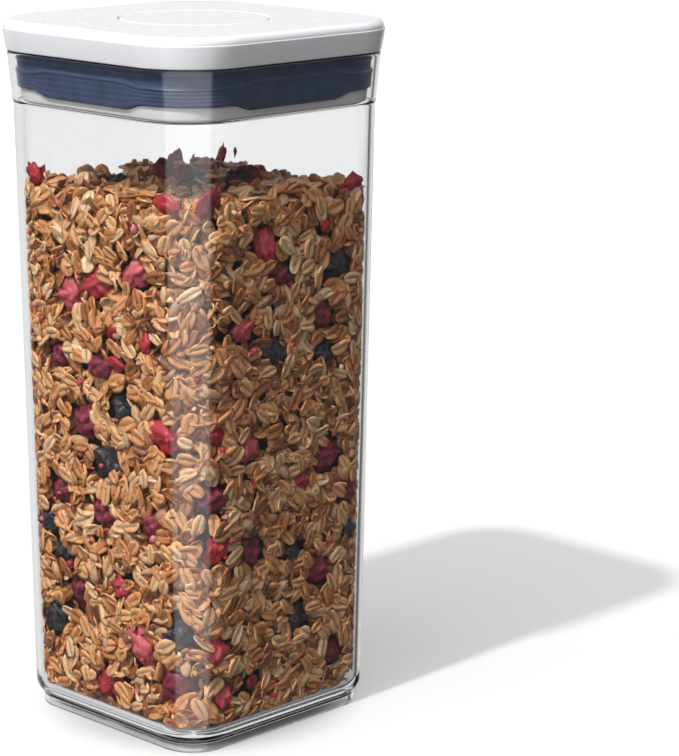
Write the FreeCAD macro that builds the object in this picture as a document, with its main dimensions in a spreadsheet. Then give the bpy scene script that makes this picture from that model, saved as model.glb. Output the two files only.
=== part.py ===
import FreeCAD, Part
import Sketcher
import math
import os
import re

# Food canister: a tall clear jar of rounded-square plan under a push-button lid. Pushing the
# button down swings four rocker levers, which lift the lower tray and squeeze the gasket out
# against the jar's neck. Rest is the closed state: button flush, tray up, gasket squeezed.
# Millimetres, +Z up, origin at the middle of the jar's foot.

SIZES = {
    # whole object, levels above the table
    "foot_height": 3.0, "base_round": 6.0, "floor_level": 5.6, "floor_round": 5.0,
    "neck_level": 215.9, "mouth_level": 216.4, "rim_level": 233.3,
    # jar: half widths and corner radii of its rounded squares
    "foot_half": 43.2, "foot_corner": 13.6, "foot_wall": 2.2, "foot_overlap": 1.6,
    "base_half": 45.7, "base_corner": 16.1, "shoulder_half": 49.8, "shoulder_corner": 20.9,
    "collar_half": 50.1, "collar_corner": 21.2, "rim_half": 51.7, "rim_corner": 22.9,
    "floor_half": 43.5, "floor_corner": 13.9, "throat_half": 47.9, "throat_corner": 19.0,
    "mouth_half": 48.5, "mouth_corner": 19.6, "lip_half": 49.95, "lip_corner": 21.1,
    "rim_round": 0.5,
    # lid cover
    "cover_low": 233.6, "cover_edge": 241.2, "cover_top": 244.0, "cover_roof": 241.6,
    "cover_low_half": 52.0, "cover_low_corner": 23.3, "cover_edge_half": 53.5,
    "cover_edge_corner": 25.4, "crown_inset": 0.4, "crown_round": 2.5, "cover_wall": 2.1,
    "sleeve_bore": 25.85, "sleeve_wall": 1.75, "sleeve_low": 232.0,
    "seal_rib_half": 46.9, "seal_rib_corner": 18.3, "seal_rib_wall": 1.4, "seal_rib_low": 229.5,
    "boss_radius": 3.4, "boss_offset": 34.0, "screw_core": 1.15, "boss_bite": 0.2,
    # button and cam stem
    "button_radius": 25.45, "button_wall": 1.6, "button_low": 227.2, "button_roof": 241.8,
    "button_round": 0.7, "press_ring_radius": 14.6, "press_ring_wall": 2.0,
    "press_ring_low": 223.3, "button_travel": 12.0,
    "stem_radius": 6.0, "stem_bore": 4.6, "stem_low": 223.2, "stem_cap": 1.5,
    "tab_width": 2.6, "tab_reach": 7.7, "tab_low": 223.6, "tab_tall": 2.0,
    # inner frame and the pieces on it
    "frame_half": 44.8, "frame_corner": 16.0, "frame_low": 221.0, "frame_high": 222.8,
    "frame_round": 0.6, "spring_post_radius": 2.4, "spring_post_tall": 8.0,
    "lever_slot_half": 3.6, "post_slot_half": 5.1, "post_slot_in": 36.4, "post_slot_out": 39.8,
    "lever_slot_in": 11.6, "ear_wall": 2.0, "ear_half": 2.3, "ear_top": 230.2,
    "guide_bore": 6.4, "guide_radius": 8.2, "guide_top": 239.5, "tab_slot_width": 3.2,
    "tab_slot_top": 238.0,
    # rocker levers
    "pivot_radius": 33.0, "pivot_level": 228.0, "inner_arm": 20.0, "outer_arm": 5.0,
    "lever_width": 6.0, "lever_thick": 2.0, "lever_nose": 0.9, "lever_hub": 2.3,
    "lever_tilt": 17.5, "pin_radius": 1.0, "pin_play": 0.06, "pin_end": 0.2,
    # latch follower, a bent steel wire
    "wire_radius": 0.5, "wire_play": 0.06, "follower_offset": 9.0, "follower_pivot": 226.0,
    "follower_tip": 236.5, "follower_reach": 5.35, "follower_root": 6.7, "window_half": 2.6,
    "window_tall": 2.6,
    # cam track on the stem
    "track_depth": 0.9, "track_low": 223.2, "track_top": 238.0, "track_left": 2.6,
    "track_right": 3.4, "island_low": 227.5, "island_top": 234.6, "island_in": 1.0,
    "island_out": 1.8,
    # spring
    "spring_wire": 0.45, "spring_radius": 3.7, "spring_turns": 6.0, "spring_gap": 0.1,
    # lower tray
    "tray_low": 215.5, "tray_top": 221.2, "tray_floor": 217.4, "tray_half": 47.4,
    "tray_corner": 18.8, "tray_low_half": 46.9, "tray_low_corner": 18.3, "tray_wall": 1.6,
    "tray_round": 2.0, "tray_dip": 2.0, "dip_half": 20.0, "dip_slope": 6.0,
    "post_in": 37.2, "post_thick": 1.6, "post_half": 4.75, "post_side": 1.4, "post_top": 232.8,
    "post_window_tall": 2.7,
    # gasket
    "seal_low": 219.4, "seal_foot": 221.4, "seal_top": 233.2, "seal_half_low": 48.4,
    "seal_corner_low": 19.8, "seal_half_top": 49.3, "seal_corner_top": 20.7, "seal_wall": 1.3,
    "seal_rib_tall": 1.0, "seal_rib_proud": 0.3, "seal_rib_step": 2.5, "seal_rib_first": 222.8,
    "seal_draft": 0.2, "seal_play": 0.5,
    # screws
    "screw_radius": 1.15, "screw_length": 11.0, "head_radius": 2.4, "head_tall": 1.3,
    "head_socket": 0.8,
}
QUARTERS = 4
SEAL_RIBS = 4
SHEET = "Sizes"

doc = FreeCAD.newDocument("food_canister")
sheet = doc.addObject("Spreadsheet::Sheet", SHEET)
for row, (alias, value) in enumerate(SIZES.items(), start=1):
    sheet.set(f"A{row}", alias)
    sheet.set(f"B{row}", str(value))
    sheet.setAlias(f"B{row}", alias)
doc.recompute()


def formula(text):
    """Turn size names in a formula into references to the sheet."""
    return re.sub(r"[a-z][a-z_]+[a-z]",
                  lambda word: f"{SHEET}.{word[0]}" if word[0] in SIZES else word[0], text)


def add(kind, name, **bound):
    """Add a document object and bind its properties; a double underscore stands for a dot."""
    item = doc.addObject(kind, name)
    for prop, text in bound.items():
        item.setExpression(prop.replace("__", "."), formula(text))
    return item


def cylinder(name, radius, tall, low="0", x="0", y="0"):
    """An upright cylinder whose base stands at the level low."""
    return add("Part::Cylinder", name, Radius=radius, Height=tall, Placement__Base__x=x,
               Placement__Base__y=y, Placement__Base__z=low)


def box(name, x, y, z):
    """A box from (low, high) pairs of formulas along each axis."""
    return add("Part::Box", name, Length=f"{x[1]} - ({x[0]})", Width=f"{y[1]} - ({y[0]})",
               Height=f"{z[1]} - ({z[0]})", Placement__Base__x=x[0], Placement__Base__y=y[0],
               Placement__Base__z=z[0])


def cut(name, base, tool):
    item = doc.addObject("Part::Cut", name)
    item.Base = base
    item.Tool = tool
    return item


def fuse(name, shapes):
    item = doc.addObject("Part::MultiFuse", name)
    item.Shapes = shapes
    return item


def group(name, shapes):
    """Separate solids that share one name."""
    item = doc.addObject("Part::Compound", name)
    item.Links = shapes
    return item


def turned(item, name, degrees):
    """The same shape turned about the Z axis."""
    copy = doc.addObject("Part::Compound", f"{name}_{int(degrees)}")
    copy.Links = [item]
    copy.Placement = FreeCAD.Placement(FreeCAD.Vector(),
                                       FreeCAD.Rotation(FreeCAD.Vector(0, 0, 1), degrees))
    return copy


def quarters(item, name):
    """Four copies of a shape, one for each side or corner of the square."""
    return [turned(item, name, 360 / QUARTERS * quarter) for quarter in range(QUARTERS)]


def level_sketch(body, name, level):
    """A sketch parallel to the body's XY plane at a level above the table."""
    sketch = body.newObject("Sketcher::SketchObject", name)
    plane = [item for item in body.Origin.OriginFeatures if item.Role == "XY_Plane"][0]
    sketch.AttachmentSupport = [(plane, "")]
    sketch.MapMode = "FlatFace"
    sketch.setExpression("AttachmentOffset.Base.z", formula(level))
    return sketch


def rounded_loop(sketch, half, corner, tag):
    """Add a square with round corners to a sketch, centred, with bound half width and corner."""
    nominal_half, nominal_corner = 47.0, 18.0
    straight = nominal_half - nominal_corner
    first = len(sketch.Geometry)
    for side in range(QUARTERS):
        turn = FreeCAD.Rotation(FreeCAD.Vector(0, 0, 1), 90 * side)
        start = turn.multVec(FreeCAD.Vector(-straight, -nominal_half, 0))
        end = turn.multVec(FreeCAD.Vector(straight, -nominal_half, 0))
        centre = turn.multVec(FreeCAD.Vector(straight, -straight, 0))
        sweep_start = math.radians(90 * side - 90)
        sketch.addGeometry(Part.LineSegment(start, end))
        sketch.addGeometry(Part.ArcOfCircle(
            Part.Circle(centre, FreeCAD.Vector(0, 0, 1), nominal_corner),
            sweep_start, sweep_start + math.pi / 2))
    lines = [first + 2 * side for side in range(QUARTERS)]
    arcs = [line + 1 for line in lines]
    rules = []
    for side in range(QUARTERS):
        rules.append(Sketcher.Constraint("Tangent", lines[side], 2, arcs[side], 1))
        rules.append(Sketcher.Constraint("Tangent", arcs[side], 2, lines[(side + 1) % 4], 1))
    rules += [Sketcher.Constraint("Equal", arcs[0], arc) for arc in arcs[1:]]
    rules.append(Sketcher.Constraint("Symmetric", lines[0], 1, lines[0], 2, -2))
    rules.append(Sketcher.Constraint("Symmetric", lines[1], 1, lines[1], 2, -1))
    rules.append(Sketcher.Constraint("Horizontal", lines[2]))
    rules.append(Sketcher.Constraint("Vertical", lines[3]))
    sketch.addConstraint(rules)
    driven = [("half_y", Sketcher.Constraint("DistanceY", lines[0], 1, -1, 1, nominal_half), half),
              ("half_x", Sketcher.Constraint("DistanceX", -1, 1, lines[1], 1, nominal_half), half),
              ("corner", Sketcher.Constraint("Radius", arcs[0], nominal_corner), corner)]
    for word, constraint, text in driven:
        index = sketch.addConstraint(constraint)
        sketch.renameConstraint(index, f"{word}_{tag}")
        sketch.setExpression(f"Constraints.{word}_{tag}", formula(text))


def square_sketch(body, name, level, half, corner):
    sketch = level_sketch(body, name, level)
    rounded_loop(sketch, half, corner, "outer")
    return sketch


def loft(body, name, kind, low, high):
    """A straight loft between two rounded squares, each (level, half, corner)."""
    feature = body.newObject(f"PartDesign::{kind}Loft", name)
    feature.Profile = square_sketch(body, f"{name}_high", *high)
    feature.Sections = [square_sketch(body, f"{name}_low", *low)]
    feature.Ruled = True
    doc.recompute()
    return feature


def ring_pad(body, name, level, half, corner, wall, tall):
    """A rounded-square wall of even thickness standing on a level."""
    sketch = square_sketch(body, f"{name}_ring", level, half, corner)
    rounded_loop(sketch, f"{half} - {wall}", f"{corner} - {wall}", "inner")
    feature = body.newObject("PartDesign::Pad", name)
    feature.Profile = sketch
    feature.setExpression("Length", formula(tall))
    doc.recompute()
    return feature


def flat_edges(shape, level, inside=None, outside=None):
    """Names of the edges that lie flat at a level, within limits on their reach from the axis."""
    names = []
    for number, edge in enumerate(shape.Edges, start=1):
        reach = max(edge.BoundBox.XMax, edge.BoundBox.YMax, -edge.BoundBox.XMin,
                    -edge.BoundBox.YMin)
        flat = edge.BoundBox.ZLength < 0.01 and abs(edge.BoundBox.ZMin - level) < 0.01
        if flat and (inside is None or reach < inside) and (outside is None or reach > outside):
            names.append(f"Edge{number}")
    return names


def fillet(body, name, base, edges, radius):
    feature = body.newObject("PartDesign::Fillet", name)
    feature.Base = (base, edges)
    feature.setExpression("Radius", formula(radius))
    doc.recompute()
    return feature


def make_body(label):
    body = doc.addObject("PartDesign::Body", f"{label}_body")
    doc.recompute()
    return body


def make_jar():
    """Clear jar: tapered wall, rounded base on a foot ring, and a collar that widens to the rim."""
    body = make_body("jar")
    wall = loft(body, "wall", "Additive", ("foot_height", "base_half", "base_corner"),
                ("neck_level", "shoulder_half", "shoulder_corner"))
    fillet(body, "base_edge", wall, flat_edges(wall.Shape, SIZES["foot_height"]), "base_round")
    loft(body, "collar", "Additive", ("neck_level", "collar_half", "collar_corner"),
         ("rim_level", "rim_half", "rim_corner"))
    ring_pad(body, "foot", "0", "foot_half", "foot_corner", "foot_wall",
             "foot_height + foot_overlap")
    hollow = loft(body, "hollow", "Subtractive", ("floor_level", "floor_half", "floor_corner"),
                  ("mouth_level", "throat_half", "throat_corner"))
    fillet(body, "floor_edge", hollow,
           flat_edges(hollow.Shape, SIZES["floor_level"]), "floor_round")
    mouth = loft(body, "mouth", "Subtractive", ("mouth_level", "mouth_half", "mouth_corner"),
                 ("rim_level", "lip_half", "lip_corner"))
    fillet(body, "rim_edge", mouth, flat_edges(mouth.Shape, SIZES["rim_level"]), "rim_round")
    return body


def make_lid_cover():
    """White cover: drafted skirt, ledge, rounded crown, button sleeve, gasket rib and bosses."""
    body = make_body("cover")
    loft(body, "skirt", "Additive", ("cover_low", "cover_low_half", "cover_low_corner"),
         ("cover_edge", "cover_edge_half", "cover_edge_corner"))
    crown = body.newObject("PartDesign::Pad", "crown")
    crown.Profile = square_sketch(body, "crown_outline", "cover_edge",
                                  "cover_edge_half - crown_inset",
                                  "cover_edge_corner - crown_inset")
    crown.setExpression("Length", formula("cover_top - cover_edge"))
    doc.recompute()
    fillet(body, "crown_edge", crown, flat_edges(crown.Shape, SIZES["cover_top"]), "crown_round")
    loft(body, "room", "Subtractive",
         ("cover_low", "cover_low_half - cover_wall", "cover_low_corner - cover_wall"),
         ("cover_roof", "cover_edge_half - cover_wall", "cover_edge_corner - cover_wall"))
    ring_pad(body, "seal_rib", "seal_rib_low", "seal_rib_half", "seal_rib_corner",
             "seal_rib_wall", "cover_roof + boss_bite - seal_rib_low")
    sleeve = cylinder("sleeve", "sleeve_bore + sleeve_wall",
                      "cover_roof + boss_bite - sleeve_low", "sleeve_low")
    boss = cylinder("boss", "boss_radius", "cover_roof + boss_bite - frame_high", "frame_high",
                    "boss_offset", "boss_offset")
    solid = fuse("cover_solid", [body, sleeve] + quarters(boss, "boss"))
    core = cylinder("screw_core_hole", "screw_core",
                    "screw_length", "frame_low + head_tall", "boss_offset", "boss_offset")
    bore = cylinder("button_bore", "sleeve_bore", "cover_top - sleeve_low", "sleeve_low")
    holes = group("cover_holes", [bore] + quarters(core, "screw_core_hole"))
    return cut("cover", solid, holes)


def make_push_button():
    """Round cup that fills the cover's bore; an inner ring presses on the four levers."""
    outside = cylinder("button_outside", "button_radius", "cover_top - button_low", "button_low")
    inside = cylinder("button_inside", "button_radius - button_wall",
                      "button_roof - button_low", "button_low")
    cup = cut("button_cup", outside, inside)
    doc.recompute()
    rounded = doc.addObject("Part::Fillet", "button_rounded")
    rounded.Base = cup
    rounded.Edges = [(int(name[4:]), SIZES["button_round"], SIZES["button_round"])
                     for name in flat_edges(cup.Shape, SIZES["cover_top"])]
    ring = cut("press_ring",
               cylinder("press_ring_outside", "press_ring_radius",
                        "button_roof + boss_bite - press_ring_low", "press_ring_low"),
               cylinder("press_ring_inside", "press_ring_radius - press_ring_wall",
                        "button_roof - press_ring_low", "press_ring_low"))
    return fuse("button", [rounded, ring])


def make_cam_stem():
    """Hollow stem under the button, with two stop tabs and the looped track of the latch."""
    tube = cut("stem_tube",
               cylinder("stem_outside", "stem_radius", "button_roof - stem_low", "stem_low"),
               cylinder("stem_inside", "stem_bore", "button_roof - stem_cap - stem_low",
                        "stem_low"))
    tab = box("stop_tab", ("stem_bore + boss_bite", "tab_reach"),
              ("-tab_width / 2", "tab_width / 2"), ("tab_low", "tab_low + tab_tall"))
    tabs = [turned(tab, "stop_tab", degrees) for degrees in (45, 225)]
    channel = box("track_channel", ("0", "stem_radius + 1"), ("-track_left", "track_right"),
                  ("track_low", "track_top"))
    island = box("track_island", ("0", "stem_radius + 1"), ("island_in", "island_out"),
                 ("island_low", "island_top"))
    core = cylinder("track_core", "stem_radius - track_depth", "track_top - track_low",
                    "track_low")
    track = cut("track", channel, fuse("track_kept", [island, core]))
    return cut("stem", fuse("stem_solid", [tube] + tabs), turned(track, "track", 135))


def make_latch_guide():
    """Fixed tube that guides the stem: two tab slots, a window and a pivot hole for the wire."""
    tube = cut("guide_tube",
               cylinder("guide_outside", "guide_radius", "guide_top - frame_high", "frame_high"),
               cylinder("guide_inside", "guide_bore", "guide_top - frame_high", "frame_high"))
    slot = box("tab_slot", ("0", "guide_radius + 1"),
               ("-tab_slot_width / 2", "tab_slot_width / 2"), ("frame_high", "tab_slot_top"))
    window = box("wire_window", ("0", "guide_radius + 1"), ("-window_half", "window_half"),
                 ("follower_tip - window_tall / 2", "follower_tip + window_tall / 2"))
    pivot = cylinder("wire_hole", "wire_radius + wire_play", "guide_radius + 1",
                     "follower_pivot")
    pivot.Placement.Rotation = FreeCAD.Rotation(FreeCAD.Vector(0, 1, 0), 90)
    openings = [turned(slot, "tab_slot", degrees) for degrees in (45, 225)]
    openings += [turned(window, "wire_window", 135), turned(pivot, "wire_hole", 135)]
    return cut("guide", tube, group("guide_openings", openings))


def make_latch_follower():
    """Bent wire: a leg in the guide's hole, an upright, and a tip that rides in the track."""
    upright = cylinder("follower_upright", "wire_radius", "follower_tip - follower_pivot",
                       "follower_pivot", "follower_offset")
    legs = []
    for word, level, reach in (("root", "follower_pivot", "follower_root"),
                               ("tip", "follower_tip", "follower_reach")):
        leg = cylinder(f"follower_{word}", "wire_radius", f"follower_offset - {reach}", level,
                       reach)
        leg.Placement.Rotation = FreeCAD.Rotation(FreeCAD.Vector(0, 1, 0), 90)
        elbow = add("Part::Sphere", f"follower_{word}_elbow", Radius="wire_radius",
                    Placement__Base__x="follower_offset", Placement__Base__z=level)
        legs += [leg, elbow]
    return turned(fuse("follower_wire", [upright] + legs), "follower", 135)


def make_spring():
    """Compression spring between the frame's centre and the stem's cap."""
    tall = "button_roof - stem_cap - frame_high - 2 * (spring_wire + spring_gap)"
    path = add("Part::Helix", "spring_path", Radius="spring_radius", Height=tall,
               Pitch=f"({tall}) / spring_turns",
               Placement__Base__z="frame_high + spring_wire + spring_gap")
    wire = add("Part::Circle", "spring_section", Radius="spring_wire",
               Placement__Base__x="spring_radius",
               Placement__Base__z="frame_high + spring_wire + spring_gap")
    wire.Placement.Rotation = FreeCAD.Rotation(FreeCAD.Vector(1, 0, 0), 90)
    doc.recompute()
    coil = doc.addObject("Part::Sweep", "spring")
    coil.Sections = [wire]
    coil.Spine = (path, ["Edge1"])
    coil.Solid = True
    coil.Frenet = True
    return coil


def make_inner_frame():
    """Flat carrier under the cover: lever slots, pin ears, screw holes and the spring post."""
    body = make_body("frame")
    plate = body.newObject("PartDesign::Pad", "frame_plate")
    plate.Profile = square_sketch(body, "frame_outline", "frame_low", "frame_half",
                                  "frame_corner")
    plate.setExpression("Length", formula("frame_high - frame_low"))
    doc.recompute()
    fillet(body, "frame_edge", plate, flat_edges(plate.Shape, SIZES["frame_low"]), "frame_round")
    lever_slot = box("lever_slot", ("lever_slot_in", "post_slot_out"),
                     ("-lever_slot_half", "lever_slot_half"), ("frame_low", "frame_high"))
    post_slot = box("post_slot", ("post_slot_in", "post_slot_out"),
                    ("-post_slot_half", "post_slot_half"), ("frame_low", "frame_high"))
    screw_hole = cylinder("frame_screw_hole", "screw_radius + pin_play",
                          "frame_high - frame_low", "frame_low", "boss_offset", "boss_offset")
    head_seat = cylinder("frame_head_seat", "head_radius + pin_play", "head_tall",
                         "frame_low", "boss_offset", "boss_offset")
    holes = group("frame_holes",
                  quarters(fuse("slot_pair", [lever_slot, post_slot]), "slot_pair")
                  + quarters(fuse("screw_seat", [screw_hole, head_seat]), "screw_seat"))
    plate_cut = cut("frame_cut", body, holes)
    ears = []
    for word, side in (("left", "lever_slot_half"), ("right", "-lever_slot_half - ear_wall")):
        ear = box(f"ear_{word}", ("pivot_radius - ear_half", "pivot_radius + ear_half"),
                  (side, f"{side} + ear_wall"), ("frame_high", "ear_top"))
        pin_hole = cylinder(f"ear_hole_{word}", "pin_radius", "ear_wall", "pivot_level",
                            "pivot_radius", f"{side} + ear_wall")
        pin_hole.Placement.Rotation = FreeCAD.Rotation(FreeCAD.Vector(1, 0, 0), 90)
        ears += quarters(cut(f"ear_cut_{word}", ear, pin_hole), f"ear_{word}")
    spring_post = cylinder("spring_post", "spring_post_radius", "spring_post_tall", "frame_high")
    return fuse("frame", [plate_cut, spring_post] + ears)


def make_lever(side):
    """Rocker lever: a bar across its pin, with round noses for the press ring and tray post."""
    bar = box(f"lever_bar_{side}", ("-inner_arm", "outer_arm"),
              ("-lever_width / 2", "lever_width / 2"), ("-lever_nose", "lever_nose"))
    rounds = []
    for word, place, radius in (("inner", "-inner_arm", "lever_thick / 2"),
                                ("outer", "outer_arm", "lever_nose"),
                                ("hub", "0", "lever_hub")):
        nose = cylinder(f"lever_{word}_{side}", radius, "lever_width", "0", place,
                        "lever_width / 2")
        nose.Placement.Rotation = FreeCAD.Rotation(FreeCAD.Vector(1, 0, 0), 90)
        rounds.append(nose)
    bore = cylinder(f"lever_bore_{side}", "pin_radius + pin_play", "lever_width", "0", "0",
                    "lever_width / 2")
    bore.Placement.Rotation = FreeCAD.Rotation(FreeCAD.Vector(1, 0, 0), 90)
    lever = cut(f"lever_{side}", fuse(f"lever_solid_{side}", [bar] + rounds), bore)
    around = FreeCAD.Rotation(FreeCAD.Vector(0, 0, 1), 90 * side)
    tilt = FreeCAD.Rotation(FreeCAD.Vector(0, 1, 0), -SIZES["lever_tilt"])
    pivot = FreeCAD.Vector(SIZES["pivot_radius"], 0, SIZES["pivot_level"])
    lever.Placement = FreeCAD.Placement(around.multVec(pivot), around.multiply(tilt))
    return lever


def make_pins():
    """Four steel pivot pins, one in each pair of ears."""
    pin = cylinder("pin", "pin_radius", "2 * (lever_slot_half + ear_wall + pin_end)",
                   "pivot_level", "pivot_radius", "lever_slot_half + ear_wall + pin_end")
    pin.Placement.Rotation = FreeCAD.Rotation(FreeCAD.Vector(1, 0, 0), 90)
    return group("pins", quarters(pin, "pin"))


def make_screws():
    """Four small screws that hold the frame to the cover's bosses."""
    shank = cylinder("screw_shank", "screw_radius", "screw_length", "frame_low + head_tall",
                     "boss_offset", "boss_offset")
    head = cylinder("screw_head", "head_radius", "head_tall", "frame_low", "boss_offset",
                    "boss_offset")
    arms = []
    for word, half_x, half_y in (("x", "head_radius * 0.6", "head_radius * 0.14"),
                                 ("y", "head_radius * 0.14", "head_radius * 0.6")):
        arms.append(box(f"screw_cross_{word}", (f"boss_offset - {half_x}",
                                                f"boss_offset + {half_x}"),
                        (f"boss_offset - {half_y}", f"boss_offset + {half_y}"),
                        ("frame_low", "frame_low + head_socket")))
    screw = cut("screw", fuse("screw_solid", [shank, head]), fuse("screw_cross", arms))
    return group("screws", quarters(screw, "screw"))


def rim_dip(name, foot, top, half):
    """A long prism with sloping ends, as deep as a dip in the rim, lying across the body."""
    item = add("Part::Wedge", name, Ymin=foot, Ymax=top, Zmin="-cover_edge_half",
               Zmax="cover_edge_half", Z2min="-cover_edge_half", Z2max="cover_edge_half",
               Xmin=f"-({half})", Xmax=half, X2min=f"-({half}) - dip_slope",
               X2max=f"{half} + dip_slope")
    item.Placement.Rotation = FreeCAD.Rotation(FreeCAD.Vector(1, 0, 0), 90)
    return [turned(item, name, degrees) for degrees in (0, 90)]


def make_lower_tray():
    """Dish that squeezes the gasket from below, with a dipped rim and four lever posts."""
    body = make_body("tray")
    dish = loft(body, "dish", "Additive", ("tray_low", "tray_low_half", "tray_low_corner"),
                ("tray_top", "tray_half", "tray_corner"))
    fillet(body, "dish_edge", dish, flat_edges(dish.Shape, SIZES["tray_low"]), "tray_round")
    loft(body, "dish_room", "Subtractive",
         ("tray_floor", "tray_half - tray_wall", "tray_corner - tray_wall"),
         ("tray_top", "tray_half - tray_wall", "tray_corner - tray_wall"))
    dished = cut("tray_dipped", body,
                 group("tray_dips", rim_dip("tray_dip_cut", "tray_top - tray_dip", "tray_top",
                                            "dip_half")))
    post = box("post", ("post_in", "post_in + post_thick"), ("-post_half", "post_half"),
               ("tray_floor - boss_bite", "post_top"))
    nose_level = SIZES["pivot_level"] + SIZES["outer_arm"] * math.sin(
        math.radians(SIZES["lever_tilt"]))
    window = box("post_window", ("post_in", "post_in + post_thick"),
                 ("-post_half + post_side", "post_half - post_side"),
                 (f"{nose_level} - post_window_tall / 2", f"{nose_level} + post_window_tall / 2"))
    return fuse("tray", [dished] + quarters(cut("post_arch", post, window), "post_arch"))


def make_gasket():
    """Silicone band with sealing ribs; its lower edge follows the tray's dipped rim."""
    body = make_body("seal")
    loft(body, "band", "Additive", ("seal_low", "seal_half_low", "seal_corner_low"),
         ("seal_top", "seal_half_top", "seal_corner_top"))
    for rib in range(SEAL_RIBS):
        feature = body.newObject("PartDesign::Pad", f"rib_{rib}")
        reach = f"seal_rib_proud + {rib} * seal_draft"
        feature.Profile = square_sketch(body, f"rib_{rib}_outline",
                                        f"seal_rib_first + {rib} * seal_rib_step",
                                        f"seal_half_low + {reach}",
                                        f"seal_corner_low + {reach}")
        feature.setExpression("Length", formula("seal_rib_tall"))
        doc.recompute()
    loft(body, "band_room", "Subtractive",
         ("seal_low", "seal_half_low - seal_wall", "seal_corner_low - seal_wall"),
         ("seal_top", "seal_half_top - seal_wall", "seal_corner_top - seal_wall"))
    span = ("-cover_edge_half", "cover_edge_half")
    upper = box("seal_upper", span, span, ("seal_foot", "seal_top"))
    kept = fuse("seal_kept", [upper] + rim_dip("seal_drop", "seal_low", "seal_foot",
                                               "dip_half - seal_play"))
    common = doc.addObject("Part::Common", "seal")
    common.Base = body
    common.Tool = kept
    return common


SUB_PARTS = {
    "jar_body": make_jar, "lid_cover": make_lid_cover, "push_button": make_push_button,
    "cam_stem": make_cam_stem, "latch_guide": make_latch_guide,
    "latch_follower": make_latch_follower, "button_spring": make_spring,
    "inner_frame": make_inner_frame, "lever_pins": make_pins, "frame_screws": make_screws,
    "lower_tray": make_lower_tray, "gasket_seal": make_gasket,
}
LEVER_SIDES = ("right", "rear", "left", "front")

finished = []
for label, make in SUB_PARTS.items():
    finished.append(make())
    finished[-1].Label = label
for side, word in enumerate(LEVER_SIDES):
    finished.append(make_lever(side))
    finished[-1].Label = f"rocker_lever_{word}"
doc.recompute()

for item in doc.Objects:
    if {"Invalid", "Error"} & set(item.State):
        raise RuntimeError(f"{item.Label} failed: {item.State}")
os.makedirs("parts", exist_ok=True)
for item in finished:
    if item.Shape.isNull() or not item.Shape.isValid():
        raise RuntimeError(f"{item.Label} has a bad shape")
    item.Shape.exportStep(f"parts/{item.Label}.step")
    box_size = item.Shape.BoundBox
    print(f"{item.Label}: {item.Shape.Volume / 1000:.2f} cm3, {len(item.Shape.Solids)} solids, "
          f"z {box_size.ZMin:.2f} to {box_size.ZMax:.2f}")
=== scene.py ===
import math
import random
from functools import partial

import bpy
import bmesh
import numpy as np
from mathutils import Matrix, Vector, noise


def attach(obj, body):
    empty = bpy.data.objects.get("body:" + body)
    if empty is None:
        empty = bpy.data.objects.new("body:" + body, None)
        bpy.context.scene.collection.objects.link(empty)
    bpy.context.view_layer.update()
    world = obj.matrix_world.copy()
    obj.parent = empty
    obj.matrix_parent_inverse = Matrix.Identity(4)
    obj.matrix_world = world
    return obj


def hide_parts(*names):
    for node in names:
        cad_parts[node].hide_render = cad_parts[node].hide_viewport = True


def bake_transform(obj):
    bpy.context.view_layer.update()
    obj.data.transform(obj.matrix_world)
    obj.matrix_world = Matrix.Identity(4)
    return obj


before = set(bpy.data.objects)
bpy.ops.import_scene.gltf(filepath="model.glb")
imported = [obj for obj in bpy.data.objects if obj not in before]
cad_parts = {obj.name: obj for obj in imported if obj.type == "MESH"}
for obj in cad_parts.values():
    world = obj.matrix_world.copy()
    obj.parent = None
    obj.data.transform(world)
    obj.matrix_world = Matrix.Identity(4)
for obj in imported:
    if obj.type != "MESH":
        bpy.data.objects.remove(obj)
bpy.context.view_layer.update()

# A clear push-top canister of granola. Lengths below are millimetres until a mesh is made.
MM = 0.001
SEED = 11

# ---------------------------------------------------------------- shape helpers

ARC_STEPS = 20
SHARP_ANGLE = 32.0
SIDE_PLAIN = (-1.0, -0.97, 0.0, 0.97)
SIDE_FINE = tuple(-1 + 2 * step / 64 for step in range(64))
SIDE_EVEN = tuple(-1 + 2 * step / 18 for step in range(18))


def ring(half, corner, level, sides=SIDE_PLAIN, lift=None):
    """Points of a square with round corners, anticlockwise from above."""
    straight = half - corner
    points = []
    for quarter in range(4):
        turn = math.radians(90 * quarter)
        cos, sin = math.cos(turn), math.sin(turn)
        local = [(part * straight, -half) for part in sides]
        for step in range(ARC_STEPS):
            angle = -math.pi / 2 + math.pi / 2 * step / ARC_STEPS
            local.append((straight + corner * math.cos(angle),
                          -straight + corner * math.sin(angle)))
        for x, y in local:
            height = level if lift is None else level + lift(x)
            points.append((x * cos - y * sin, x * sin + y * cos, height))
    return points


def round_ring(radius, level, like):
    """Points of a circle at the same bearings as those of another ring."""
    bearings = [math.atan2(y, x) for x, y, _ in like]
    return [(radius * math.cos(a), radius * math.sin(a), level) for a in bearings]


def bend(half, corner, level, radius, start, end, steps=6):
    """Stations round a small edge radius: 0 degrees points up, 90 out, 180 down, 270 in."""
    stations = []
    for step in range(steps + 1):
        angle = math.radians(start + (end - start) * step / steps)
        out = radius * math.sin(angle)
        stations.append((half + out, corner + out, level + radius * math.cos(angle)))
    return stations


def add_mesh(name, verts, faces):
    """A smooth-shaded piece from points in millimetres, with its folds kept sharp."""
    mesh = bpy.data.meshes.new(name)
    mesh.from_pydata([(x * MM, y * MM, z * MM) for x, y, z in verts], [], faces)
    work = bmesh.new()
    work.from_mesh(mesh)
    bmesh.ops.remove_doubles(work, verts=work.verts, dist=1e-6)
    bmesh.ops.recalc_face_normals(work, faces=work.faces)
    for edge in work.edges:
        edge.smooth = edge.calc_face_angle(0) < math.radians(SHARP_ANGLE)
    for face in work.faces:
        face.smooth = True
    work.to_mesh(mesh)
    work.free()
    piece = bpy.data.objects.new(name, mesh)
    bpy.context.collection.objects.link(piece)
    return piece


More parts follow.
